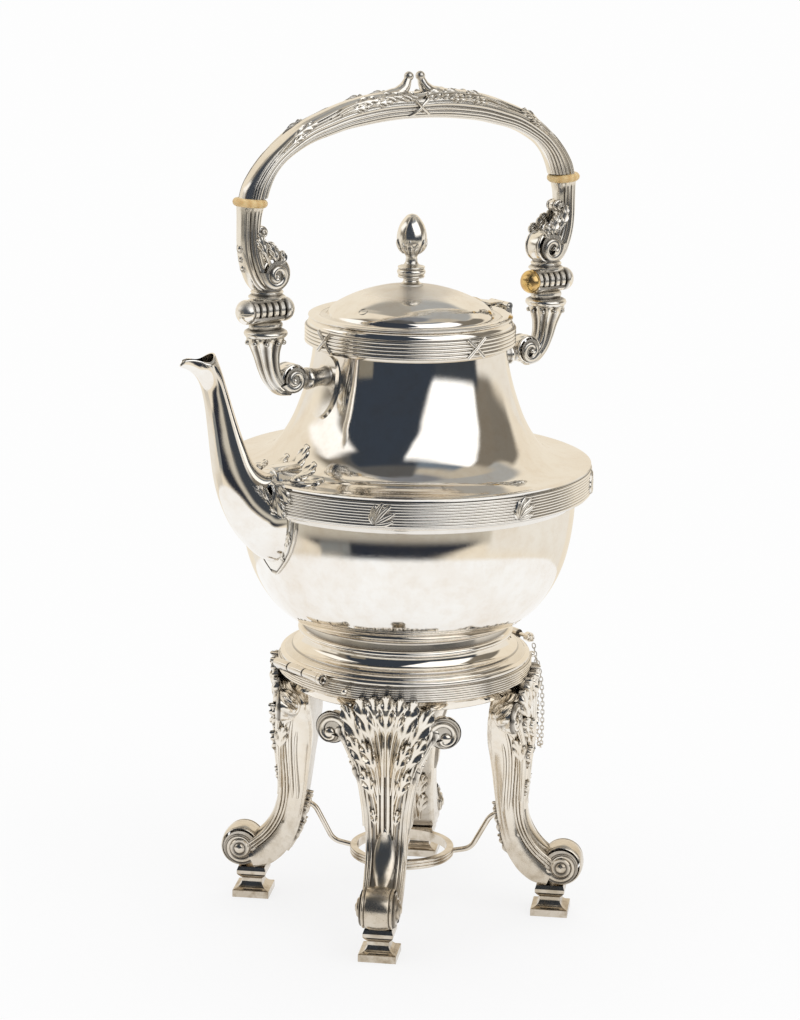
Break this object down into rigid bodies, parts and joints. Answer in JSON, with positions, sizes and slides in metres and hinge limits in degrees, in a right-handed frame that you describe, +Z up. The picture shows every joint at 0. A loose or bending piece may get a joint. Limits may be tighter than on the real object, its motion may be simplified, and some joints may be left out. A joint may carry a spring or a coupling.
{
  "type": "spirit kettle on stand",
  "caption": "Round lidded kettle with spout and swinging arched handle, hinged to tilt on a ring stand with scroll legs and a burner ring.",
  "frame": {"origin": "on the stand's axis at the level of the floor that its four plinths stand on", "axes": "+Z up; the spout points along -X, the lid hinge and the locking pin are on the +X side, and the bail handle stands in the XZ plane"},
  "size_m": [0.2441, 0.188, 0.43],
  "materials": {
    "silver_body": "polished silver with fine wear",
    "silver_plain": "polished silver",
    "silver_cast": "cast and chased silver, dark in its recesses",
    "silver_chain": "silver wire",
    "gilt": "polished gilt metal",
    "ivory": "polished ivory-coloured insulating ring"
  },
  "bodies": {
    "stand": {"stand_rim": "silver_plain", "leg_front_right": "silver_cast", "foot_block_front_right": "silver_plain", "burner_arm_front_right": "silver_plain", "leg_front_left": "silver_cast", "foot_block_front_left": "silver_plain", "burner_arm_front_left": "silver_plain", "leg_rear_left": "silver_cast", "foot_block_rear_left": "silver_plain", "burner_arm_rear_left": "silver_plain", "leg_rear_right": "silver_cast", "foot_block_rear_right": "silver_plain", "burner_arm_rear_right": "silver_plain", "burner_ring": "silver_plain", "front_hinge_stand_knuckles": "silver_plain", "rear_lock_stand_knuckle": "silver_plain", "front_chain_stud": "silver_plain", "rear_chain_stud": "silver_plain", "lock_chain": "silver_chain"},
    "kettle": {"front_hinge_kettle_knuckle": "silver_plain", "rear_lock_kettle_knuckle": "silver_plain", "kettle_bowl": "silver_body", "kettle_shoulder": "silver_body", "girdle_band": "silver_plain", "kettle_foot": "silver_plain", "neck_band": "silver_plain", "lid_hinge_pin": "silver_plain", "girdle_leaves": "silver_cast", "neck_ribbon_ties": "silver_cast", "spout_leaf": "silver_cast", "spout_shield": "silver_cast", "lid_hinge_seat": "silver_cast", "spout": "silver_body", "handle_escutcheon_rear": "silver_cast", "handle_bracket_rear": "silver_cast", "bail_pin_rear": "silver_plain", "bail_cap_inner_rear": "gilt", "bail_cap_outer_rear": "silver_plain", "handle_escutcheon_front": "silver_cast", "handle_bracket_front": "silver_cast", "bail_pin_front": "silver_plain", "bail_cap_inner_front": "silver_plain", "bail_cap_outer_front": "silver_plain"},
    "handle": {"handle_arm_rear": "silver_cast", "insulator_rear": "ivory", "insulator_pin_rear": "silver_plain", "handle_arm_front": "silver_cast", "insulator_front": "ivory", "insulator_pin_front": "silver_plain", "handle_grip": "silver_cast", "handle_crest": "silver_cast"},
    "lid": {"lid_dome": "silver_body", "lid_bezel": "silver_plain", "lid_vent_eyelet": "silver_plain", "finial": "silver_cast", "finial_nut": "silver_plain", "lid_hinge_leaf": "silver_cast"},
    "front_pin": {"front_hinge_pin": "silver_plain"},
    "rear_pin": {"rear_lock_pin": "silver_plain"}
  },
  "joints": [
    {"name": "kettle_tilt", "type": "hinge", "parent": "stand", "child": "kettle", "pos_m": [-0.0673, 0, 0.1364], "axis": [0, -1, 0], "range_deg": [0, 40]},
    {"name": "lid_hinge", "type": "hinge", "parent": "kettle", "child": "lid", "pos_m": [0.0575, 0, 0.3096], "axis": [0, 1, 0], "range_deg": [0, 60]},
    {"name": "handle_swing", "type": "hinge", "parent": "kettle", "child": "handle", "pos_m": [0, 0, 0.3195], "axis": [1, 0, 0], "range_deg": [-90, 90]},
    {"name": "rear_pin_slide", "type": "slide", "parent": "stand", "child": "rear_pin", "axis": [0, -1, 0], "range_m": [-0.006, 0.012], "deforming": ["lock_chain"]},
    {"name": "front_pin_slide", "type": "slide", "parent": "stand", "child": "front_pin", "axis": [0, -1, 0], "range_m": [0, 0.04]}
  ]
}
